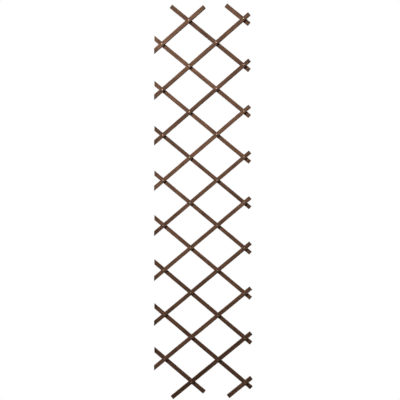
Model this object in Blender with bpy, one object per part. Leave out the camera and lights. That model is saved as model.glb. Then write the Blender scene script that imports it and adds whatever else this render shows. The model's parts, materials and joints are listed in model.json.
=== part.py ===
"""Expanding garden trellis of flat hardwood laths, drawn open to a tall panel.

Twenty laths lie in two layers: ten in front, rising to the right, and ten behind them,
falling to the right. A semi-tubular rivet goes through every crossing. It holds the two
laths together and is the pivot that lets the whole lattice fold, as lazy tongs do.

X runs across the panel, Z runs up and Y runs from the front to the wall behind. The
origin is midway across and midway through the depth, level with the lowest tip.
Columns of rivets count from 1 at the left, and rows count from 0 at the top.
"""

import math

import bmesh
import bpy

# Lattice, in metres
COLUMNS = 4
ROWS = 17
LATHS_IN_A_LAYER = 10
RIVET_PITCH = 0.160
LATH_ANGLE = math.radians(40.0)
MIDDLE = (2, 8)

# Laths
LATH_WIDTH = 0.018
LATH_THICKNESS = 0.008
EASED_EDGE = 0.0009
EASED_STEPS = 2
LAYER_GAP = 0.0003

# Ends of the laths. The left ends are sawn along one line, which leans out downwards by half
# a degree. Its overhang is given level with the lowest rivet of the first column. The other
# ends are sawn square, and the right stubs grow a little from the top row to the bottom one.
LEFT_OVERHANG = 0.0485
LEFT_LINE_LEAN = math.radians(0.49)
RIGHT_STUB_TOP = 0.0325
RIGHT_STUB_BOTTOM = 0.0390
TOP_LEFT_TIPS = {("back", 1): 0.103, ("back", 2): 0.107}
TOP_RIGHT_TIPS = {("front", 1): 0.091}
BOTTOM_LEFT_TIPS = {("front", 9): 0.116, ("front", 10): 0.099}
BOTTOM_RIGHT_TIPS = {("back", 10): 0.078}

# Rivets: a low domed head in front, a shank, and a hollow tail rolled over behind
HEAD_RADIUS = 0.005
HEAD_HEIGHT = 0.0017
SHANK_RADIUS = 0.0025
TAIL_BORE_RADIUS = 0.0016
TAIL_BORE_DEPTH = 0.006
DRILL_POINT = 0.0005
ROLL_RADIUS = 0.0046
ROLL_HEIGHT = 0.0011
SEAT_GAP = 0.0003
DOME_STEPS = 2
ROLL_STEPS = 3

# Drilled holes, and the shallow sinkings behind that take the rolled tails
HOLE_RADIUS = 0.0029
SINK_RADIUS = 0.0055
SINK_DEPTH = 0.0019
CUT_PAST = 0.002
ROUND_STEPS = 12

# Finish
STAINED_WOOD = (86, 64, 48)
BROWNED_STEEL = (120, 96, 80)

# Sizes that follow from those above
COLUMN_SPACING = RIVET_PITCH * math.cos(LATH_ANGLE)
ROW_SPACING = RIVET_PITCH * math.sin(LATH_ANGLE)
DEPTH = HEAD_HEIGHT + SEAT_GAP + 2 * LATH_THICKNESS + LAYER_GAP
HEAD_SEAT_Y = -DEPTH / 2 + HEAD_HEIGHT
BACK_FACE_Y = DEPTH / 2
LAYER_Y = {
    "front": HEAD_SEAT_Y + SEAT_GAP + LATH_THICKNESS / 2,
    "back": BACK_FACE_Y - LATH_THICKNESS / 2,
}
LAYER_TURN = {"front": -LATH_ANGLE, "back": LATH_ANGLE}
SINK_FLOOR_Y = BACK_FACE_Y - SINK_DEPTH
LOWEST_TIP_DROP = (
    max(BOTTOM_LEFT_TIPS.values()) * math.sin(LATH_ANGLE)
    + LATH_WIDTH / 2 * math.cos(LATH_ANGLE)
)
LOWEST_LEFT_ROW = ROWS - 2
LEFT_REACH = (
    LEFT_OVERHANG + LATH_WIDTH / 2 * math.tan(LEFT_LINE_LEAN) / math.cos(LATH_ANGLE)
) / (1 - math.tan(LATH_ANGLE) * math.tan(LEFT_LINE_LEAN))
RIGHT_REACH = (
    RIGHT_STUB_BOTTOM * math.cos(LATH_ANGLE) + LATH_WIDTH / 2 * math.sin(LATH_ANGLE)
)
FIRST_COLUMN_X = (LEFT_REACH - RIGHT_REACH - (COLUMNS - 1) * COLUMN_SPACING) / 2


def clear_scene():
    for thing in list(bpy.data.objects):
        bpy.data.objects.remove(thing, do_unlink=True)


def linear(channel):
    """One 8-bit sRGB channel as the linear value that a shader takes."""
    value = channel / 255
    return value / 12.92 if value <= 0.04045 else ((value + 0.055) / 1.055) ** 2.4


def make_material(name, colour, roughness, metallic):
    material = bpy.data.materials.new(name)
    material.use_nodes = True
    shader = material.node_tree.nodes["Principled BSDF"]
    shader.inputs["Base Color"].default_value = (*map(linear, colour), 1.0)
    shader.inputs["Roughness"].default_value = roughness
    shader.inputs["Metallic"].default_value = metallic
    return material


def crossing_point(place, y):
    """Where the rivet at a column and row is, at a given depth."""
    column, row = place
    x = FIRST_COLUMN_X + (column - 1) * COLUMN_SPACING
    z = LOWEST_TIP_DROP + (ROWS - 1 - row) * ROW_SPACING
    return (x, y, z)


def crossings_on(lath):
    """The columns and rows of a lath's rivets, from left to right."""
    layer, number = lath
    places = []
    for column in range(1, COLUMNS + 1):
        row = 2 * number - column if layer == "front" else 2 * number + column - 6
        if 0 <= row < ROWS:
            places.append((column, row))
    return places


def lath_at(layer, place):
    column, row = place
    number = (row + column) // 2 if layer == "front" else (row - column + 6) // 2
    return (layer, number)


def lath_name(lath):
    layer, number = lath
    return f"{layer}_lath_{number:02d}"


def rivet_name(place):
    column, row = place
    return f"rivet_row{row + 1:02d}_col{column}"


def plan_hinges():
    """Each lath's hinge place, and the lath that carries it, spreading from the middle."""
    hinges = {lath_at(layer, MIDDLE): (MIDDLE, None) for layer in ("front", "back")}
    reached = list(hinges)
    while reached:
        carrier = reached.pop(0)
        other_layer = "back" if carrier[0] == "front" else "front"
        for place in crossings_on(carrier):
            neighbour = lath_at(other_layer, place)
            if neighbour not in hinges:
                hinges[neighbour] = (place, carrier)
                reached.append(neighbour)
    return hinges


def turn_profile(bm, profile, centre_x=0.0):
    """A solid turned about the line through centre_x along Y, from (radius, y) points
    that start and end on that line."""
    points = [bm.verts.new((centre_x + radius, y, 0.0)) for radius, y in profile]
    edges = [bm.edges.new(pair) for pair in zip(points, points[1:])]
    bmesh.ops.spin(
        bm,
        geom=points + edges,
        cent=(centre_x, 0.0, 0.0),
        axis=(0.0, 1.0, 0.0),
        angle=math.tau,
        steps=ROUND_STEPS,
        use_merge=True,
    )


def finish_mesh(bm, name):
    bmesh.ops.remove_doubles(bm, verts=bm.verts, dist=1e-6)
    bmesh.ops.recalc_face_normals(bm, faces=bm.faces)
    mesh = bpy.data.meshes.new(name)
    bm.to_mesh(mesh)
    bm.free()
    return mesh


def add_object(name, mesh, location, turn=0.0):
    thing = bpy.data.objects.new(name, mesh)
    bpy.context.scene.collection.objects.link(thing)
    thing.location = location
    thing.rotation_euler = (0.0, turn, 0.0)
    return thing


def attach(child, parent):
    """Parent a piece to what carries it, leaving it where it is."""
    bpy.context.view_layer.update()
    child.parent = parent
    child.matrix_parent_inverse = parent.matrix_world.inverted()


def left_end(lath):
    """How far a lath runs past its first rivet along its middle, and the slant of that end."""
    tip = {**TOP_LEFT_TIPS, **BOTTOM_LEFT_TIPS}.get(lath)
    if tip:
        return tip, 0.0
    layer = lath[0]
    row = crossings_on(lath)[0][1]
    lean = math.tan(LEFT_LINE_LEAN)
    climb = math.tan(LAYER_TURN[layer])
    level_overhang = LEFT_OVERHANG - (LOWEST_LEFT_ROW - row) * ROW_SPACING * lean
    overhang = level_overhang / (1 + climb * lean)
    return overhang / math.cos(LATH_ANGLE), math.tan(LEFT_LINE_LEAN - LAYER_TURN[layer])


def right_end(lath):
    tip = {**TOP_RIGHT_TIPS, **BOTTOM_RIGHT_TIPS}.get(lath)
    if tip:
        return tip
    share = crossings_on(lath)[-1][1] / (ROWS - 1)
    return RIGHT_STUB_TOP + share * (RIGHT_STUB_BOTTOM - RIGHT_STUB_TOP)


def lath_blank(lath, hinge_column):
    """The sawn and eased lath before drilling, along X, with its hinge at the origin."""
    places = crossings_on(lath)
    overhang, slant = left_end(lath)
    left = (places[0][0] - hinge_column) * RIVET_PITCH - overhang
    right = (places[-1][0] - hinge_column) * RIVET_PITCH + right_end(lath)
    half_width = LATH_WIDTH / 2

    bm = bmesh.new()
    corners = [
        (left - slant * half_width, -half_width),
        (right, -half_width),
        (right, half_width),
        (left + slant * half_width, half_width),
    ]
    front = [bm.verts.new((x, -LATH_THICKNESS / 2, z)) for x, z in corners]
    face = bm.faces.new(front)
    grown = bmesh.ops.extrude_face_region(bm, geom=[face])
    back = [item for item in grown["geom"] if isinstance(item, bmesh.types.BMVert)]
    bmesh.ops.translate(bm, verts=back, vec=(0.0, LATH_THICKNESS, 0.0))

    long_edges = [
        edge
        for edge in bm.edges
        if abs(edge.verts[0].co.x - edge.verts[1].co.x) > LATH_WIDTH
    ]
    bmesh.ops.bevel(
        bm,
        geom=long_edges,
        offset=EASED_EDGE,
        segments=EASED_STEPS,
        profile=0.5,
        affect="EDGES",
    )
    return finish_mesh(bm, lath_name(lath))


def drill_profile(layer):
    """The drill's outline in the lath's own depth, stepped where a tail is sunk."""
    face = LATH_THICKNESS / 2
    if layer == "front":
        steps = [(HOLE_RADIUS, -face - CUT_PAST), (HOLE_RADIUS, face + CUT_PAST)]
    else:
        steps = [
            (HOLE_RADIUS, -face - CUT_PAST),
            (HOLE_RADIUS, face - SINK_DEPTH),
            (SINK_RADIUS, face - SINK_DEPTH),
            (SINK_RADIUS, face + CUT_PAST),
        ]
    return [(0.0, steps[0][1]), *steps, (0.0, steps[-1][1])]


def drill_for(lath, hinge_column):
    """One stepped drill at each rivet of a lath, in the lath's own frame."""
    bm = bmesh.new()
    for column, _ in crossings_on(lath):
        turn_profile(bm, drill_profile(lath[0]), (column - hinge_column) * RIVET_PITCH)
    return finish_mesh(bm, lath_name(lath) + "_drill")


def make_lath(lath, hinge_place, wood):
    """A lath with its object's origin on the rivet that it turns on."""
    layer = lath[0]
    where = crossing_point(hinge_place, LAYER_Y[layer])
    turn = LAYER_TURN[layer]
    piece = add_object(lath_name(lath), lath_blank(lath, hinge_place[0]), where, turn)
    piece.data.materials.append(wood)

    drill = drill_for(lath, hinge_place[0])
    cutter = add_object(drill.name, drill, where, turn)
    cutter.hide_render = True
    cutter.display_type = "WIRE"
    attach(cutter, piece)

    holes = piece.modifiers.new("rivet_holes", "BOOLEAN")
    holes.operation = "DIFFERENCE"
    holes.object = cutter
    return piece


def rivet_profile():
    """The set rivet from the top of its head, over the rolled tail, to the bore's end."""
    outline = [(0.0, HEAD_SEAT_Y - HEAD_HEIGHT)]
    for step in range(1, DOME_STEPS + 1):
        angle = math.pi / 2 * step / DOME_STEPS
        radius = HEAD_RADIUS * math.sin(angle)
        outline.append((radius, HEAD_SEAT_Y - HEAD_HEIGHT * math.cos(angle)))

    roll_base = SINK_FLOOR_Y + SEAT_GAP
    outline.append((SHANK_RADIUS, HEAD_SEAT_Y))
    outline.append((SHANK_RADIUS, roll_base))

    roll_middle = (ROLL_RADIUS + TAIL_BORE_RADIUS) / 2
    roll_half = (ROLL_RADIUS - TAIL_BORE_RADIUS) / 2
    for step in range(ROLL_STEPS + 1):
        angle = math.pi * step / ROLL_STEPS
        radius = roll_middle + roll_half * math.cos(angle)
        outline.append((radius, roll_base + ROLL_HEIGHT * math.sin(angle)))

    bore_end = roll_base - TAIL_BORE_DEPTH
    outline.append((TAIL_BORE_RADIUS, bore_end))
    outline.append((0.0, bore_end - DRILL_POINT))
    return outline


def rivet_mesh(steel):
    bm = bmesh.new()
    turn_profile(bm, rivet_profile())
    mesh = finish_mesh(bm, "rivet")
    mesh.shade_smooth()
    mesh.set_sharp_from_angle(angle=math.radians(50.0))
    mesh.materials.append(steel)
    return mesh


def build():
    clear_scene()
    woods = {
        "front": make_material("front_lath_wood", STAINED_WOOD, 0.75, 0.0),
        "back": make_material("back_lath_wood", STAINED_WOOD, 0.75, 0.0),
    }
    steel = make_material("rivet_steel", BROWNED_STEEL, 0.45, 0.9)

    hinges = plan_hinges()
    laths = {
        lath: make_lath(lath, hinge_place, woods[lath[0]])
        for lath, (hinge_place, _) in hinges.items()
    }

    mesh = rivet_mesh(steel)
    rivets = {}
    for number in range(1, LATHS_IN_A_LAYER + 1):
        for place in crossings_on(("front", number)):
            rivets[place] = add_object(rivet_name(place), mesh, crossing_point(place, 0.0))

    for lath, (_, carrier) in hinges.items():
        attach(laths[lath], laths[carrier] if carrier else rivets[MIDDLE])
    for place, rivet in rivets.items():
        if place != MIDDLE:
            attach(rivet, laths[lath_at("front", place)])


build()
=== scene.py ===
import json
import math
import random

import bmesh
import bpy
from mathutils import Matrix, Vector, noise


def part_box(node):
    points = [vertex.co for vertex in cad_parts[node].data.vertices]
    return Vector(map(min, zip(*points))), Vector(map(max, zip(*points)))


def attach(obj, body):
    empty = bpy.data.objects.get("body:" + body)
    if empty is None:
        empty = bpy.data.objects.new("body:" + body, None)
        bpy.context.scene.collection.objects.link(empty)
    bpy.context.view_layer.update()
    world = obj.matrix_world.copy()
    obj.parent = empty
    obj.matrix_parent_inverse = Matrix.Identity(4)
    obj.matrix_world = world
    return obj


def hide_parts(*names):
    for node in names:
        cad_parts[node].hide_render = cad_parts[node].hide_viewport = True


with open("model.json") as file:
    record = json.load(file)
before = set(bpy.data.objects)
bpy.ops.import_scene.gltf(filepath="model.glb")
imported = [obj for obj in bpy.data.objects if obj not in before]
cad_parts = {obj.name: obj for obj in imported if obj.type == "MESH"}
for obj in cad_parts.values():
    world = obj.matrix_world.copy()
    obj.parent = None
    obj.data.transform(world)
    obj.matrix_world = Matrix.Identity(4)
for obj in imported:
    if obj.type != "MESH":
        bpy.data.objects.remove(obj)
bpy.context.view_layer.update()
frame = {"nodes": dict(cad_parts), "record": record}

# Camera
# The photograph looks almost square on at the open panel from about 1.8 m away, a little right of its
# middle and level with it, so the laths show their lower sides at the top and their upper sides below.

CAMERA_FROM_MIDDLE = Vector((0.0825, -1.789, 0.0537))
CAMERA_YAW = math.radians(3.15)
CAMERA_PITCH = math.radians(-1.29)
CAMERA_ROLL = math.radians(0.32)
FROM_DOWN_TO_LEVEL = math.radians(90.0)
CAMERA_LENS_MM = 35.56
CAMERA_SENSOR_MM = 36.0
CAMERA_REACH = 100.0


def box_centre(node):
    low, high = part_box(node)
    return (low + high) / 2


rivet_places = {
    node: box_centre(node) for node in sorted(frame["nodes"]) if node.startswith("rivet")
}
middle_rivet = rivet_places["rivet_row09_col2"]
next_rivet = rivet_places["rivet_row08_col3"]
column_spacing = next_rivet.x - middle_rivet.x
row_spacing = next_rivet.z - middle_rivet.z
rivet_pitch = math.hypot(column_spacing, row_spacing)
panel_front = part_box("front_lath_05")[0].y
panel_middle = Vector((middle_rivet.x + column_spacing / 2, panel_front, middle_rivet.z))

camera = bpy.data.objects.new("camera", bpy.data.cameras.new("camera"))
bpy.context.scene.collection.objects.link(camera)
bpy.context.scene.camera = camera
camera.data.lens = CAMERA_LENS_MM
camera.data.sensor_width = CAMERA_SENSOR_MM
camera.data.clip_end = CAMERA_REACH
camera.matrix_world = (
    Matrix.Translation(panel_middle + CAMERA_FROM_MIDDLE)
    @ Matrix.Rotation(CAMERA_YAW, 4, "Z")
    @ Matrix.Rotation(CAMERA_PITCH, 4, "X")
    @ Matrix.Rotation(CAMERA_ROLL, 4, "Y")
    @ Matrix.Rotation(FROM_DOWN_TO_LEVEL, 4, "X")
)

# Laths
# Twenty hardwood laths, sawn to 18 by 8 mm, drilled at every crossing and dipped in a brown stain.
# Ten lie in front, rising to the right, and ten behind, falling to the right. Their ends are sawn
# square, or plumb down the left side. The back ones are sunk round each hole for the rivet's tail.

LATH_CELL = 0.00222
CELLS_ACROSS = 8
CELLS_ROUND_HOLE = 3
HOLE_SIDES = 8 * CELLS_ROUND_HOLE
HOLE_PATCH = 0.45
HOLE_RADIUS = 0.0029
SINK_RADIUS = 0.0055
SINK_DEPTH = 0.0019
EASED_EDGE = 0.0009
SAWN_END_EDGE = 0.00035
HOLE_EDGE = 0.00025
RIM_ANGLE = math.radians(60.0)
FACES_ENDWAYS = 0.7
FAR_FROM_HOLES = 0.0075
NEAR_CENTRE_LINE = 0.25
FLUSH = 0.00001
WELD = 0.000002


class Lay:
    """A lath's own frame, with its first rivet at zero, its rivets and ends, all from the CAD node."""

    def __init__(self, node):
        self.in_front = node.startswith("front")
        rise = row_spacing if self.in_front else -row_spacing
        self.along = Vector((column_spacing, 0.0, rise)).normalized()
        self.across = Vector((-self.along.z, 0.0, self.along.x))
        corners = [vertex.co for vertex in frame["nodes"][node].data.vertices]
        sides = [corner.dot(self.across) for corner in corners]
        lengths = [corner.dot(self.along) for corner in corners]
        depths = [corner.y for corner in corners]
        self.width = max(sides) - min(sides)
        self.depth = max(depths) - min(depths)
        centre_line = (max(sides) + min(sides)) / 2

        in_line = [
            centre.dot(self.along)
            for centre in rivet_places.values()
            if abs(centre.dot(self.across) - centre_line) < self.width * NEAR_CENTRE_LINE
        ]
        found = sorted(u for u in in_line if min(lengths) < u < max(lengths))
        self.rivets = [u - found[0] for u in found]
        self.origin = self.along * found[0] + self.across * centre_line
        self.origin.y = (max(depths) + min(depths)) / 2

        high_side = [u for u, v in zip(lengths, sides) if v > max(sides) - FLUSH]
        low_side = [u for u, v in zip(lengths, sides) if v < min(sides) + FLUSH]
        self.left = (min(high_side) + min(low_side)) / 2 - found[0]
        self.right = max(lengths) - found[0]
        self.slant = (min(high_side) - min(low_side)) / self.width

    def to_world(self):
        turned = Matrix((self.along, (0.0, 1.0, 0.0), self.across)).transposed()
        return Matrix.Translation(self.origin) @ turned.to_4x4()

    def nearest_rivet(self, place):
        return min(math.hypot(place.x - rivet, place.z) for rivet in self.rivets)

    def on_face(self, corner):
        return abs(corner.co.y) > self.depth / 2 - FLUSH

    def on_side(self, corner):
        return abs(corner.co.z) > self.width / 2 - FLUSH


def corners_in(geometry):
    return [item for item in geometry if isinstance(item, bmesh.types.BMVert)]


def drilled_face(bm, lay):
    """The lath's front face as a grid of cells, opened to a round hole at each rivet."""
    knots = [lay.left, *lay.rivets, lay.right]
    counts = [round((end - start) / LATH_CELL) for start, end in zip(knots, knots[1:])]
    stations = [lay.left]
    for start, end, count in zip(knots, knots[1:], counts):
        stations += [start + (end - start) * k / count for k in range(1, count + 1)]
    bmesh.ops.create_grid(bm, x_segments=sum(counts), y_segments=CELLS_ACROSS, size=0.5)

    grid = {}
    slant_ends = -(CELLS_ROUND_HOLE + 1) * LATH_CELL
    for corner in bm.verts:
        i = round((corner.co.x + 0.5) * sum(counts))
        j = round((corner.co.y + 0.5) * CELLS_ACROSS)
        grid[i, j] = corner
        side = (j / CELLS_ACROSS - 0.5) * lay.width
        slanting = max(0.0, (slant_ends - stations[i]) / (slant_ends - lay.left))
        corner.co = (stations[i] + lay.slant * side * slanting, -lay.depth / 2, side)

    middle = CELLS_ACROSS // 2
    inner = range(1 - CELLS_ROUND_HOLE, CELLS_ROUND_HOLE)
    patch = lay.width * HOLE_PATCH
    for order, rivet in enumerate(lay.rivets):
        column = sum(counts[: order + 1])
        cleared = [grid[column + i, middle + j] for i in inner for j in inner]
        bmesh.ops.delete(bm, geom=cleared, context="VERTS")
        round_here = [
            edge
            for edge in bm.edges
            if edge.is_boundary
            and all(max(abs(end.co.x - rivet), abs(end.co.z)) < patch for end in edge.verts)
        ]
        grown = bmesh.ops.extrude_edge_only(bm, edges=round_here)["geom"]
        for corner in corners_in(grown):
            turn = math.atan2(corner.co.z, corner.co.x - rivet)
            turn = round(turn * HOLE_SIDES / math.tau) * math.tau / HOLE_SIDES
            corner.co.x = rivet + HOLE_RADIUS * math.cos(turn)
            corner.co.z = HOLE_RADIUS * math.sin(turn)


def spin(bm, outline, centre, steps):
    """An outline of radii and depths, spun all the way round a rivet's axis."""
    points = [bm.verts.new((centre + radius, depth, 0.0)) for radius, depth in outline]
    edges = [bm.edges.new(pair) for pair in zip(points, points[1:])]
    bmesh.ops.spin(
        bm,
        geom=points + edges,
        cent=(centre, 0.0, 0.0),
        axis=(0.0, 1.0, 0.0),
        angle=math.tau,
        steps=steps,
        use_merge=True,
    )


def close_up(bm):
    """Joins the points that meet and turns every face outwards."""
    bmesh.ops.remove_doubles(bm, verts=bm.verts, dist=WELD)
    bmesh.ops.recalc_face_normals(bm, faces=bm.faces)


def hole_wall(bm, lay, rivet):
    """The wall of one hole, stepped in a back lath, where the tail is sunk."""
    front, back = -lay.depth / 2, lay.depth / 2
    if lay.in_front:
        outline = [(HOLE_RADIUS, front), (HOLE_RADIUS, back)]
    else:
        sunk = back - SINK_DEPTH
        outline = [
            (HOLE_RADIUS, front),
            (HOLE_RADIUS, sunk),
            (SINK_RADIUS, sunk),
            (SINK_RADIUS, back),
        ]
    spin(bm, outline, rivet, HOLE_SIDES)


def saw_and_drill(lay):
    """The lath as it leaves the drill, closed all round, with its edges still sharp."""
    bm = bmesh.new()
    drilled_face(bm, lay)
    through = Vector((0.0, lay.depth, 0.0))
    outer = [
        edge
        for edge in bm.edges
        if edge.is_boundary and lay.nearest_rivet(edge.verts[0].co) > FAR_FROM_HOLES
    ]
    twin = bmesh.ops.duplicate(bm, geom=bm.verts[:] + bm.edges[:] + bm.faces[:])["geom"]
    back_corners = corners_in(twin)
    if not lay.in_front:
        for corner in back_corners:
            if lay.nearest_rivet(corner.co) < HOLE_RADIUS + FLUSH:
                rivet = min(lay.rivets, key=lambda u: abs(u - corner.co.x))
                corner.co.x = rivet + (corner.co.x - rivet) * SINK_RADIUS / HOLE_RADIUS
                corner.co.z *= SINK_RADIUS / HOLE_RADIUS
    bmesh.ops.translate(bm, verts=back_corners, vec=through)
    walls = bmesh.ops.extrude_edge_only(bm, edges=outer)["geom"]
    bmesh.ops.translate(bm, verts=corners_in(walls), vec=through)
    for rivet in lay.rivets:
        hole_wall(bm, lay, rivet)
    close_up(bm)
    return bm


def bevel(bm, edges, offset, segments):
    bmesh.ops.bevel(
        bm,
        geom=edges,
        offset=offset,
        segments=segments,
        profile=0.5,
        affect="EDGES",
        material=-1,
    )


def ease_edges(bm, lay):
    """The long arrises rounded, then the sawn ends and the rims of the holes just broken."""
    arrises = [
        edge
        for edge in bm.edges
        if all(lay.on_face(corner) and lay.on_side(corner) for corner in edge.verts)
        and abs(edge.verts[0].co.x - edge.verts[1].co.x) > LATH_CELL / 2
    ]
    bevel(bm, arrises, EASED_EDGE, segments=3)

    sawn = {
        face
        for face in bm.faces
        if abs(face.normal.x) > FACES_ENDWAYS
        and lay.nearest_rivet(face.calc_center_median()) > FAR_FROM_HOLES
    }
    end_edges = [edge for edge in bm.edges if len(sawn.intersection(edge.link_faces)) == 1]
    bevel(bm, end_edges, SAWN_END_EDGE, segments=2)

    rims = [
        edge
        for edge in bm.edges
        if edge.is_manifold
        and lay.nearest_rivet(edge.verts[0].co) < SINK_RADIUS + FLUSH
        and edge.calc_face_angle() > RIM_ANGLE
        and lay.on_face(edge.verts[0])
    ]
    bevel(bm, rims, HOLE_EDGE, segments=2)


def note_places(bm, lay, number):
    """Each point's place along, through and across the lath, kept for the grain and the wear."""
    board = bm.verts.layers.float_vector.new("board")
    lath_number = bm.verts.layers.float.new("lath_number")
    from_end = bm.verts.layers.float.new("from_end")
    for corner in bm.verts:
        u, y, v = corner.co
        corner[board] = (u, y, v)
        corner[lath_number] = number
        corner[from_end] = min(u - lay.left - lay.slant * v, lay.right - u)


OUTWARD_BOW = 0.0005
LEAST_BOW_SHARE = 0.2
SIDEWAYS_BOW = 0.0003
SAW_WANDER = 0.00012
HELD_BY_RIVET = 0.006
WORN_EDGE = 0.00035
CHIP_DEPTH = 0.0007
CHIP_RARITY = 0.38
ARRIS_REACH = EASED_EDGE * 1.2
HEAD_DENT = 0.00012
DENT_RADIUS = HOLE_RADIUS * 1.3

# How often the wander, the rubbing and the chips come in a metre, and how they differ between laths.
WANDER_ALONG, WANDER_ACROSS, WANDER_BY_LATH = 22.0, 30.0, 7.1
RUB_ALONG, RUB_BY_LATH = 90.0, 3.3
CHIP_ALONG, CHIP_BY_LATH = 240.0, 5.7

# How far apart the noise is read for the two sides, the two faces, and the chips beside the rubbing.
SIDES_APART, FACES_APART, CHIPS_APART = 3.0, 5.0, 9.0


def span_at(lay, u):
    """The span between rivets that a place lies in, and its share of the span's bow and swing."""
    span = sum(u > rivet for rivet in lay.rivets)
    if 0 < span < len(lay.rivets):
        arch = math.sin(math.pi * (u - lay.rivets[span - 1]) / rivet_pitch) ** 2
        return span, arch, arch
    past = (u - lay.rivets[-1] if span else lay.rivets[0] - u) / rivet_pitch
    return span, past**2, past


def arris_loss(number, u, y, v):
    """How much rubbing and chipping have taken off one of the four arrises."""
    which = Vector((math.copysign(SIDES_APART, v), math.copysign(FACES_APART, y), 0.0))
    rubbed = noise.noise(Vector((u * RUB_ALONG, number * RUB_BY_LATH, 0.0)) + which)
    chipped = noise.noise(Vector((u * CHIP_ALONG, number * CHIP_BY_LATH, CHIPS_APART)) + which)
    return WORN_EDGE * max(0.0, rubbed) + CHIP_DEPTH * max(0.0, chipped - CHIP_RARITY)


def weather(bm, lay, number, dice):
    """The small bows between rivets, the saw's wander and the worn and chipped edges."""
    spans = len(lay.rivets) + 1
    bows = [dice.uniform(LEAST_BOW_SHARE, 1.0) * OUTWARD_BOW for _ in range(spans)]
    swings = [dice.uniform(-1.0, 1.0) * SIDEWAYS_BOW for _ in range(spans)]
    outward = -1.0 if lay.in_front else 1.0
    for corner in bm.verts:
        u, y, v = corner.co
        from_rivet = lay.nearest_rivet(corner.co)
        span, arch, swing = span_at(lay, u)
        shift = Vector((0.0, outward * bows[span] * arch, swings[span] * swing))

        place = Vector((u * WANDER_ALONG, number * WANDER_BY_LATH, v * WANDER_ACROSS))
        wander = noise.noise(place)
        clear = min(1.0, max(0.0, (from_rivet - HELD_BY_RIVET) / HELD_BY_RIVET))
        if y * outward > 0:
            shift.y += outward * wander * SAW_WANDER * clear
        shift.z += math.copysign(wander, v) * SAW_WANDER * abs(v) / lay.width * clear

        if abs(v) > lay.width / 2 - ARRIS_REACH and abs(y) > lay.depth / 2 - ARRIS_REACH:
            loss = arris_loss(number, u, y, v)
            shift.y -= math.copysign(loss, y)
            shift.z -= math.copysign(loss, v)

        if lay.in_front and y * outward > 0 and from_rivet < DENT_RADIUS:
            shift.y += HEAD_DENT
        corner.co += shift


def start_material(name):
    material = bpy.data.materials.new(name)
    material.use_nodes = True
    return material, material.node_tree, material.node_tree.nodes["Principled BSDF"]


def set_inputs(tree, node, inputs):
    """Gives a shader node its inputs, each a value or another node's output."""
    for socket, value in inputs.items():
        if isinstance(value, bpy.types.NodeSocket):
            tree.links.new(value, node.inputs[socket])
        else:
            node.inputs[socket].default_value = value


def set_node(tree, kind, inputs, **settings):
    """A new shader node with its settings and inputs, given back as its outputs."""
    made = tree.nodes.new(kind)
    for name, value in settings.items():
        setattr(made, name, value)
    set_inputs(tree, made, inputs)
    return made.outputs


def figure(tree, operation, *values):
    """A sum, worked out by a Math node."""
    made = set_node(tree, "ShaderNodeMath", dict(enumerate(values)), operation=operation)
    return made["Value"]


def ease(tree, value, low, high, at_low=0.0, at_high=1.0):
    """A value between two limits, turned into a smooth step from one level to another."""
    ends = {"Value": value, "From Min": low, "From Max": high, "To Min": at_low, "To Max": at_high}
    return set_node(tree, "ShaderNodeMapRange", ends, interpolation_type="SMOOTHSTEP")["Result"]


def stretch(tree, vector, by, shift=(0.0, 0.0, 0.0)):
    parts = {0: vector, 1: by, 2: shift}
    return set_node(tree, "ShaderNodeVectorMath", parts, operation="MULTIPLY_ADD")["Vector"]


def marks(tree, place, repeats, detail=2.0, roughness=0.5, between=None, strength=1.0):
    """Random marks that repeat so often in a metre, each way, and may come in between two levels."""
    parts = {
        "Vector": stretch(tree, place, repeats),
        "Scale": 1.0,
        "Detail": detail,
        "Roughness": roughness,
    }
    level = set_node(tree, "ShaderNodeTexNoise", parts)["Fac"]
    return ease(tree, level, *between, at_high=strength) if between else level


def pile(tree, *layers):
    """Patterns laid on each other, each as deep as the number beside it says."""
    (first, depth), *others = layers
    height = figure(tree, "MULTIPLY", first, depth)
    for pattern, depth in others:
        height = figure(tree, "MULTIPLY_ADD", pattern, depth, height)
    return height


def blend_colour(tree, amount, first, second, how="MIX"):
    """Two colours blended by a Mix node, which takes them at its inputs 6 and 7 and gives output 2."""
    parts = {"Factor": amount, 6: first, 7: second}
    made = set_node(tree, "ShaderNodeMix", parts, data_type="RGBA", blend_type=how)
    return made[2]


def linear(*channels):
    """An 8-bit sRGB colour as the linear one that a shader takes."""
    values = [channel / 255 for channel in channels]
    return (
        *(v / 12.92 if v <= 0.04045 else ((v + 0.055) / 1.055) ** 2.4 for v in values),
        1.0,
    )


def grey(level):
    return (level, level, level, 1.0)


def read_attribute(tree, name, output):
    return set_node(tree, "ShaderNodeAttribute", {}, attribute_name=name)[output]


# How often each mark of the timber repeats in a metre, along, through and across the lath, and the
# levels of its pattern between which it comes in.
FIBRES = {"repeats": (30.0, 1900.0, 1900.0), "detail": 3.0, "roughness": 0.6}
STREAKS = {"repeats": (7.0, 290.0, 290.0), "detail": 3.0}
BLOTCHES = {"repeats": (24.0, 55.0, 55.0), "detail": 3.0}
FUZZ = {"repeats": (900.0, 3200.0, 3200.0)}
LONG_PORES = {"repeats": (48.0, 3000.0, 3000.0), "detail": 0.0, "between": (0.66, 0.76)}
FINE_PORES = {
    "repeats": (105.0, 4600.0, 4600.0),
    "detail": 0.0,
    "between": (0.60, 0.72),
    "strength": 0.75,
}
KNOCKS = {
    "repeats": (55.0, 320.0, 320.0),
    "detail": 4.0,
    "roughness": 0.62,
    "between": (0.40, 0.62),
}
SCUFFS = {"repeats": (16.0, 900.0, 900.0), "detail": 1.0, "between": (0.68, 0.78)}
END_SPLITS = {"repeats": (9.0, 520.0, 520.0), "detail": 0.0, "between": (0.68, 0.71)}

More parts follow.
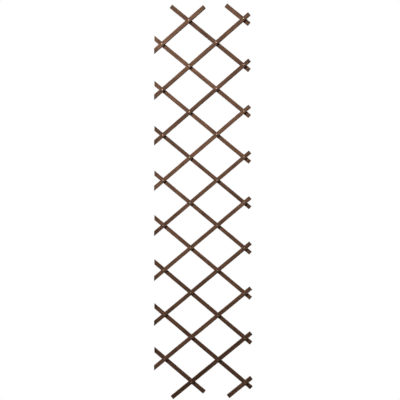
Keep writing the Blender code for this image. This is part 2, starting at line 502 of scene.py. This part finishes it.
# Growth rings, about a heart that may lie anywhere beside the lath, and the ridges from the saw.
RINGS = {
    "Scale": 95.0,
    "Distortion": 4.2,
    "Detail": 3.0,
    "Detail Scale": 0.35,
    "Detail Roughness": 0.6,
}
RING_STRETCH = (0.10, 1.0, 1.0)
HEART_RANGE = (0.0, 0.09, 0.07)
HEART_START = (0.0, -0.045, -0.035)
SAW_RIDGES = {"Scale": 120.0, "Distortion": 2.4, "Detail": 3.0, "Detail Scale": 1.6}
SAW_STRETCH = (1.0, 0.14, 0.14)
LATHS_CUT_APART = (1.7, 1.7, 1.7)

PORE_BROWN = linear(41, 25, 17)
RUBBED_BROWN = linear(160, 115, 81)
IRON_BLACK = linear(42, 31, 27)
END_GRAIN_BROWN = linear(41, 26, 18)

# How strongly each shows in the colour, and the darkest and palest tone of each that varies.
RINGS_SHOW = 0.36
FIBRES_SHOW = 0.95
STREAKS_SHOW = 0.90
DARKENED_BY = 0.62
PORES_SHOW = 0.72
WEAR_SHOWS = 0.62
SCUFFS_SHOW = 0.35
IRON_SHOWS = 0.40
END_GRAIN_SHOWS = 0.58
LATH_TONES = (0.82, 1.18)
BLOTCH_TONES = (0.80, 1.18)
SAW_TONES = (0.95, 1.05)
ALL_BLOTCHES = (0.3, 0.7)
PALER_BLOTCHES = (0.48, 0.62)

# Where each starts and stops, in metres from the lath's middle, from a rivet or from an end.
SIDE_ARRIS = (0.0074, 0.0089)
FACE_ARRIS = (0.0025, 0.0039)
IRON_REACH = (0.0046, 0.0100)
IRON_CREEP = 0.010
END_GRAIN_REACH = (0.0004, 0.0060)
END_GRAIN_CREEP = 0.014
SPLIT_REACH = (0.010, 0.034)

WOOD_ROUGHNESS = 0.54
WORN_SMOOTHER = -0.12
FIBRES_ROUGHER = 0.35
WOOD_SPECULAR = 0.13
GRAIN_RELIEF = 0.00013


def timber_rings(tree, board, chance):
    """Growth rings about a heart that lies somewhere beside each lath."""
    heart = stretch(tree, chance["Color"], HEART_RANGE, HEART_START)
    parts = {"Vector": stretch(tree, board, RING_STRETCH, heart), **RINGS}
    rings = {"wave_type": "RINGS", "rings_direction": "X"}
    return set_node(tree, "ShaderNodeTexWave", parts, **rings)["Fac"]


def saw_lines(tree, stock):
    """The faint ridges that the saw leaves across a lath."""
    parts = {"Vector": stretch(tree, stock, SAW_STRETCH), **SAW_RIDGES}
    bands = {"wave_type": "BANDS", "bands_direction": "X"}
    return set_node(tree, "ShaderNodeTexWave", parts, **bands)["Fac"]


def open_pores(tree, stock):
    fine, long = marks(tree, stock, **FINE_PORES), marks(tree, stock, **LONG_PORES)
    return figure(tree, "MAXIMUM", fine, long)


def grain_light(tree, rings, fibres, streaks):
    """How pale the grain is at a point, before pores, wear and stains."""
    light = pile(tree, (fibres, FIBRES_SHOW), (rings, RINGS_SHOW))
    light = figure(tree, "SUBTRACT", light, DARKENED_BY)
    light = figure(tree, "MULTIPLY_ADD", streaks, STREAKS_SHOW, light)
    return figure(tree, "MINIMUM", light, 1.0)


def stain_tone(tree, chance, uneven, sawn):
    """The stain's tone, which differs between laths, in blotches and over the saw's ridges."""
    toned = ease(tree, chance["Value"], 0.0, 1.0, *LATH_TONES)
    ridged = ease(tree, sawn, 0.0, 1.0, *SAW_TONES)
    stain = figure(tree, "MULTIPLY", figure(tree, "MULTIPLY", toned, uneven), ridged)
    washed = {"Red": stain, "Green": stain, "Blue": stain}
    return set_node(tree, "ShaderNodeCombineColor", washed)["Color"]


def worn_arrises(tree, stock, through, across):
    """The arrises, where knocks have rubbed the stain off them."""
    near_side = ease(tree, figure(tree, "ABSOLUTE", across), *SIDE_ARRIS)
    near_face = ease(tree, figure(tree, "ABSOLUTE", through), *FACE_ARRIS)
    arris = figure(tree, "MULTIPLY", near_side, near_face)
    return figure(tree, "MULTIPLY", arris, marks(tree, stock, **KNOCKS))


def scuffed_places(tree, stock, blotches):
    """Fine scuffs along the grain, in the paler blotches."""
    paler = ease(tree, blotches, *PALER_BLOTCHES)
    return figure(tree, "MULTIPLY", marks(tree, stock, **SCUFFS), paler)


def iron_stain(tree, along, across, streaks):
    """The black that iron draws out of the timber round each rivet, creeping along the grain."""
    past = figure(tree, "PINGPONG", along, rivet_pitch / 2)
    squares = figure(tree, "MULTIPLY_ADD", past, past, figure(tree, "MULTIPLY", across, across))
    crept = figure(tree, "SUBTRACT", streaks, 0.5)
    ragged = figure(tree, "MULTIPLY_ADD", crept, IRON_CREEP, figure(tree, "SQRT", squares))
    return ease(tree, ragged, *IRON_REACH, at_low=IRON_SHOWS, at_high=0.0)


def soaked_end(tree, from_end, fibres):
    """The end grain, which drinks more stain than the faces."""
    crept = figure(tree, "SUBTRACT", fibres, 0.5)
    soaked = figure(tree, "MULTIPLY_ADD", crept, END_GRAIN_CREEP, from_end)
    return ease(tree, soaked, *END_GRAIN_REACH, at_low=END_GRAIN_SHOWS, at_high=0.0)


def drying_splits(tree, stock, from_end):
    """Hair splits that run in from the ends and close up further along."""
    near_end = ease(tree, from_end, *SPLIT_REACH, at_low=1.0, at_high=0.0)
    return figure(tree, "MULTIPLY", marks(tree, stock, **END_SPLITS), near_end)


def stained_wood(name, pale, dark):
    """Open-grained hardwood under a thin brown stain, its grain running along each lath."""
    material, tree, shader = start_material(name)
    board = read_attribute(tree, "board", "Vector")
    number = read_attribute(tree, "lath_number", "Fac")
    from_end = read_attribute(tree, "from_end", "Fac")
    chance = set_node(tree, "ShaderNodeTexWhiteNoise", {"W": number}, noise_dimensions="1D")
    along, through, across = set_node(tree, "ShaderNodeSeparateXYZ", {0: board}).values()
    stock = stretch(tree, chance["Color"], LATHS_CUT_APART, board)

    rings = timber_rings(tree, board, chance)
    fibres = marks(tree, stock, **FIBRES)
    streaks = marks(tree, stock, **STREAKS)
    blotches = marks(tree, stock, **BLOTCHES)
    pores = open_pores(tree, stock)
    sawn = saw_lines(tree, stock)
    uneven = ease(tree, blotches, *ALL_BLOTCHES, *BLOTCH_TONES)
    worn = worn_arrises(tree, stock, through, across)
    scuffed = scuffed_places(tree, stock, blotches)
    iron = iron_stain(tree, along, across, streaks)
    splits = drying_splits(tree, stock, from_end)
    dark_end = figure(tree, "MAXIMUM", soaked_end(tree, from_end, fibres), splits)

    colour = blend_colour(tree, grain_light(tree, rings, fibres, streaks), dark, pale)
    tone = stain_tone(tree, chance, uneven, sawn)
    colour = blend_colour(tree, 1.0, colour, tone, "MULTIPLY")
    colour = blend_colour(tree, figure(tree, "MULTIPLY", pores, PORES_SHOW), colour, PORE_BROWN)
    colour = blend_colour(tree, figure(tree, "MULTIPLY", worn, WEAR_SHOWS), colour, RUBBED_BROWN)
    colour = blend_colour(tree, figure(tree, "MULTIPLY", scuffed, SCUFFS_SHOW), colour, RUBBED_BROWN)
    colour = blend_colour(tree, iron, colour, IRON_BLACK)
    colour = blend_colour(tree, dark_end, colour, END_GRAIN_BROWN)

    rough = figure(tree, "MULTIPLY_ADD", worn, WORN_SMOOTHER, WOOD_ROUGHNESS)
    rough = figure(tree, "MULTIPLY_ADD", fibres, FIBRES_ROUGHER, rough)
    height = pile(
        tree,
        (pores, -1.2),
        (fibres, 1.3),
        (figure(tree, "MULTIPLY", sawn, uneven), 0.55),
        (marks(tree, stock, **FUZZ), 0.35),
        (rings, 0.25),
        (splits, -4.0),
    )
    relief = {"Height": height, "Distance": GRAIN_RELIEF, "Strength": 1.0}
    finish = {
        "Base Color": colour,
        "Roughness": rough,
        "Specular IOR Level": WOOD_SPECULAR,
        "Normal": set_node(tree, "ShaderNodeBump", relief)["Normal"],
    }
    set_inputs(tree, shader, finish)
    return material


LATH_WOOD = {
    "front": stained_wood("front_lath_wood", linear(136, 98, 74), linear(68, 47, 35)),
    "back": stained_wood("back_lath_wood", linear(132, 94, 71), linear(66, 45, 33)),
}
LATH_SHARP_EDGE = math.radians(42.0)


def add_piece(name, bm, material):
    """A finished piece, at the origin with its place in its mesh."""
    mesh = bpy.data.meshes.new(name)
    bm.to_mesh(mesh)
    bm.free()
    mesh.materials.append(material)
    mesh.shade_smooth()
    piece = bpy.data.objects.new(name, mesh)
    bpy.context.scene.collection.objects.link(piece)
    return piece


lath_nodes = sorted(name for name in frame["nodes"] if "_lath_" in name)
for number, node in enumerate(lath_nodes):
    lay = Lay(node)
    bm = saw_and_drill(lay)
    ease_edges(bm, lay)
    note_places(bm, lay, number)
    weather(bm, lay, number, random.Random(number))
    bmesh.ops.transform(bm, matrix=lay.to_world(), verts=bm.verts)
    layer = "front" if lay.in_front else "back"
    lath = add_piece(f"{node}_stained", bm, LATH_WOOD[layer])
    lath.data.set_sharp_from_angle(angle=LATH_SHARP_EDGE)
    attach(lath, node)
    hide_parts(node)

# Rivets
# Thirty-four semi-tubular steel rivets, browned all over. Each has a low domed head pulled down on the
# front lath, a shank through both, and a hollow tail rolled outwards in its sinking behind. It stays
# loose enough to be the pivot of the folding lattice.

HEAD_RADIUS = 0.005
HEAD_HEIGHT = 0.0019
HEAD_RIM = 0.00035
SHANK_RADIUS = 0.0025
TAIL_BORE_RADIUS = 0.0016
TAIL_BORE_DEPTH = 0.006
DRILL_POINT = 0.0005
ROLL_RADIUS = 0.0046
ROLL_HEIGHT = 0.0011
RIVET_CLEARANCE = 0.00008
RIVET_SIDES = 32
DOME_STEPS, RIM_STEPS, ROLL_STEPS = 7, 3, 9
DOME_STOPS = 84.0
RIVET_SHARP_EDGE = math.radians(55.0)

front_face, back_face = panel_front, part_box("back_lath_06")[1].y


def arc(centre_radius, centre_y, half_radius, half_y, start, end, steps):
    """Points of a turned outline along an elliptical arc, by radius and depth."""
    turns = [math.radians(start + (end - start) * k / steps) for k in range(steps + 1)]
    return [
        (centre_radius + half_radius * math.sin(turn), centre_y - half_y * math.cos(turn))
        for turn in turns
    ]


def rivet_outline():
    """From the top of the dome, down the outside, round the rolled tail and up its bore."""
    seat = front_face - RIVET_CLEARANCE
    dome_foot = seat - HEAD_RIM
    dome_height = HEAD_HEIGHT - HEAD_RIM
    dome = arc(0.0, dome_foot, HEAD_RADIUS, dome_height, 0.0, DOME_STOPS, DOME_STEPS)
    rim = arc(HEAD_RADIUS - HEAD_RIM, dome_foot, HEAD_RIM, HEAD_RIM, 90.0, 180.0, RIM_STEPS)
    roll_base = back_face - SINK_DEPTH + RIVET_CLEARANCE
    roll_middle = (ROLL_RADIUS + TAIL_BORE_RADIUS) / 2
    roll_half = (ROLL_RADIUS - TAIL_BORE_RADIUS) / 2
    roll = arc(roll_middle, roll_base, roll_half, -ROLL_HEIGHT, 90.0, -90.0, ROLL_STEPS)
    bore_end = roll_base - TAIL_BORE_DEPTH
    return (
        dome
        + rim
        + [(SHANK_RADIUS, seat), (SHANK_RADIUS, roll_base)]
        + roll
        + [(TAIL_BORE_RADIUS, bore_end), (0.0, bore_end - DRILL_POINT)]
    )


def turn_rivet():
    """A rivet on its own axis, with how near each point is to the crown, kept for the rubbing."""
    bm = bmesh.new()
    spin(bm, rivet_outline(), 0.0, RIVET_SIDES)
    close_up(bm)
    crown = bm.verts.layers.float.new("crown")
    for corner in bm.verts:
        radius = math.hypot(corner.co.x, corner.co.z)
        corner[crown] = max(0.0, 1.0 - radius / HEAD_RADIUS)
    return bm


OXIDE_MOTTLE = {
    "repeats": (1500.0, 1500.0, 1500.0),
    "detail": 4.0,
    "roughness": 0.65,
    "between": (0.30, 0.70),
}
OXIDE_PATCHES = {"repeats": (260.0, 260.0, 260.0)}
DARK_OXIDE = linear(61, 42, 33)
PALE_OXIDE = linear(120, 90, 70)
RUBBED_STEEL = linear(158, 132, 113)

# The first of each pair is for plain oxide, the second for rubbed steel.
METALLIC_LEVELS = (0.40, 0.90)
ROUGHNESS_LEVELS = (0.46, 0.36)
MOTTLE_ROUGHER = 0.22
OXIDE_RELIEF = 0.00005

# How far in from the head's rim the grime reaches and the rubbing starts, as a share of its radius.
GRIME_REACH = (0.02, 0.16)
GRIME_SHOWS = 0.65
RUB_STARTS = 0.42
RUB_LEVELS = (0.1, 0.5)
PATCHES_SHOW = 0.7
MOTTLE_IN_RUB = (0.5, 1.0)


def browned_steel():
    """Steel under a thin brown oxide, rubbed brighter on the crown and grimy round the rim."""
    material, tree, shader = start_material("rivet_steel")
    place = set_node(tree, "ShaderNodeTexCoord", {})["Object"]
    crown = read_attribute(tree, "crown", "Fac")
    mottle = marks(tree, place, **OXIDE_MOTTLE)
    patches = marks(tree, place, **OXIDE_PATCHES)
    raised = figure(tree, "SUBTRACT", crown, RUB_STARTS)
    rubbed = figure(tree, "MULTIPLY_ADD", patches, PATCHES_SHOW, raised)
    bright = ease(tree, rubbed, *RUB_LEVELS)
    mottled = ease(tree, mottle, 0.0, 1.0, *MOTTLE_IN_RUB)
    bright = figure(tree, "MULTIPLY", bright, mottled)

    oxide = blend_colour(tree, mottle, DARK_OXIDE, PALE_OXIDE)
    colour = blend_colour(tree, bright, oxide, RUBBED_STEEL)
    grime = ease(tree, crown, *GRIME_REACH, at_low=GRIME_SHOWS, at_high=0.0)
    rough = ease(tree, bright, 0.0, 1.0, *ROUGHNESS_LEVELS)
    relief = {"Height": mottle, "Distance": OXIDE_RELIEF, "Strength": 0.8}
    finish = {
        "Base Color": blend_colour(tree, grime, colour, IRON_BLACK),
        "Metallic": ease(tree, bright, 0.0, 1.0, *METALLIC_LEVELS),
        "Roughness": figure(tree, "MULTIPLY_ADD", mottle, MOTTLE_ROUGHER, rough),
        "Normal": set_node(tree, "ShaderNodeBump", relief)["Normal"],
    }
    set_inputs(tree, shader, finish)
    return material


rivet_steel = browned_steel()
body_of_node = {
    node: body
    for body, nodes in frame["record"]["behaviour"]["bodies"].items()
    for node in nodes
}
for node, centre in rivet_places.items():
    bm = turn_rivet()
    turn = Matrix.Rotation(random.Random(node).uniform(0.0, math.tau), 4, "Y")
    place = Matrix.Translation((centre.x, 0.0, centre.z)) @ turn
    bmesh.ops.transform(bm, matrix=place, verts=bm.verts)
    rivet = add_piece(f"{node}_set", bm, rivet_steel)
    rivet.data.set_sharp_from_angle(angle=RIVET_SHARP_EDGE)
    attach(rivet, body_of_node[node])
    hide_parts(node)

# Floor and light
# A pale studio floor and a white surround. A wide lamp up to the left in front gathers its light on the
# top of the panel, a faint one fills in from the right, and a third lights the back. The floor lies
# below the reach of the tips when the panel, held by its middle, is pushed together upright.

FLOOR_SIZE = 60.0
FLOOR_DROP = 0.5
FLOOR_LIFT = 0.79
PAPER_GREY = 0.30
PAPER_ROUGHNESS = 0.9
FADE_STARTS = 0.5
FADE_ENDS = 1.5
SURROUND_LEVEL = 0.08
WHITE = grey(1.0)

floor_mesh = bmesh.new()
bmesh.ops.create_grid(floor_mesh, x_segments=1, y_segments=1, size=FLOOR_SIZE / 2)
bmesh.ops.translate(floor_mesh, verts=floor_mesh.verts, vec=(0.0, 0.0, -FLOOR_DROP))
paper, paper_tree, paper_shader = start_material("floor_paper")
seen = set_node(paper_tree, "ShaderNodeLightPath", {})["Is Camera Ray"]
paper_finish = {
    "Base Color": grey(PAPER_GREY),
    "Roughness": PAPER_ROUGHNESS,
    "Specular IOR Level": 0.0,
    "Emission Color": WHITE,
    "Emission Strength": figure(paper_tree, "MULTIPLY", seen, FLOOR_LIFT),
}
set_inputs(paper_tree, paper_shader, paper_finish)
floor_place = set_node(paper_tree, "ShaderNodeTexCoord", {})["Object"]
far = set_node(paper_tree, "ShaderNodeVectorMath", {0: floor_place}, operation="LENGTH")["Value"]
fade = figure(paper_tree, "MULTIPLY", ease(paper_tree, far, FADE_STARTS, FADE_ENDS), seen)
white = set_node(paper_tree, "ShaderNodeEmission", {"Color": WHITE, "Strength": 1.0})["Emission"]
layers = {0: fade, 1: paper_shader.outputs["BSDF"], 2: white}
mixed = set_node(paper_tree, "ShaderNodeMixShader", layers)["Shader"]
set_inputs(paper_tree, paper_tree.nodes["Material Output"], {"Surface": mixed})
floor = add_piece("floor", floor_mesh, paper)

surround = bpy.data.worlds.new("surround")
bpy.context.scene.world = surround
surround.use_nodes = True
sky_tree = surround.node_tree
rays = set_node(sky_tree, "ShaderNodeLightPath", {})
mirrored = figure(sky_tree, "MAXIMUM", rays["Is Glossy Ray"], rays["Is Transmission Ray"])
direct = figure(sky_tree, "MAXIMUM", rays["Is Camera Ray"], mirrored)
level = ease(sky_tree, direct, 0.0, 1.0, SURROUND_LEVEL, 1.0)
set_inputs(sky_tree, sky_tree.nodes["Background"], {"Color": WHITE, "Strength": level})


def add_lamp(name, place, aim, size, watts, spread=180.0):
    lamp = bpy.data.objects.new(name, bpy.data.lights.new(name, "AREA"))
    bpy.context.scene.collection.objects.link(lamp)
    lamp.data.shape = "DISK"
    lamp.data.size = size
    lamp.data.energy = watts
    lamp.data.spread = math.radians(spread)
    lamp.location = place
    lamp.rotation_euler = (Vector(aim) - Vector(place)).to_track_quat("-Z", "Y").to_euler()
    lamp.visible_camera = False


panel_top, panel_waist = (0.0, 0.0, 1.4), (0.0, 0.0, 0.9)
add_lamp("key_lamp", (-1.0, -2.0, 2.5), panel_top, size=1.6, watts=20.8, spread=84.0)
add_lamp("side_lamp", (2.6, -1.6, 1.6), panel_waist, size=1.6, watts=2.5)
add_lamp("back_lamp", (-1.1, 2.6, 2.2), panel_waist, size=1.4, watts=62.0)

bpy.context.scene.view_settings.view_transform = "Standard"
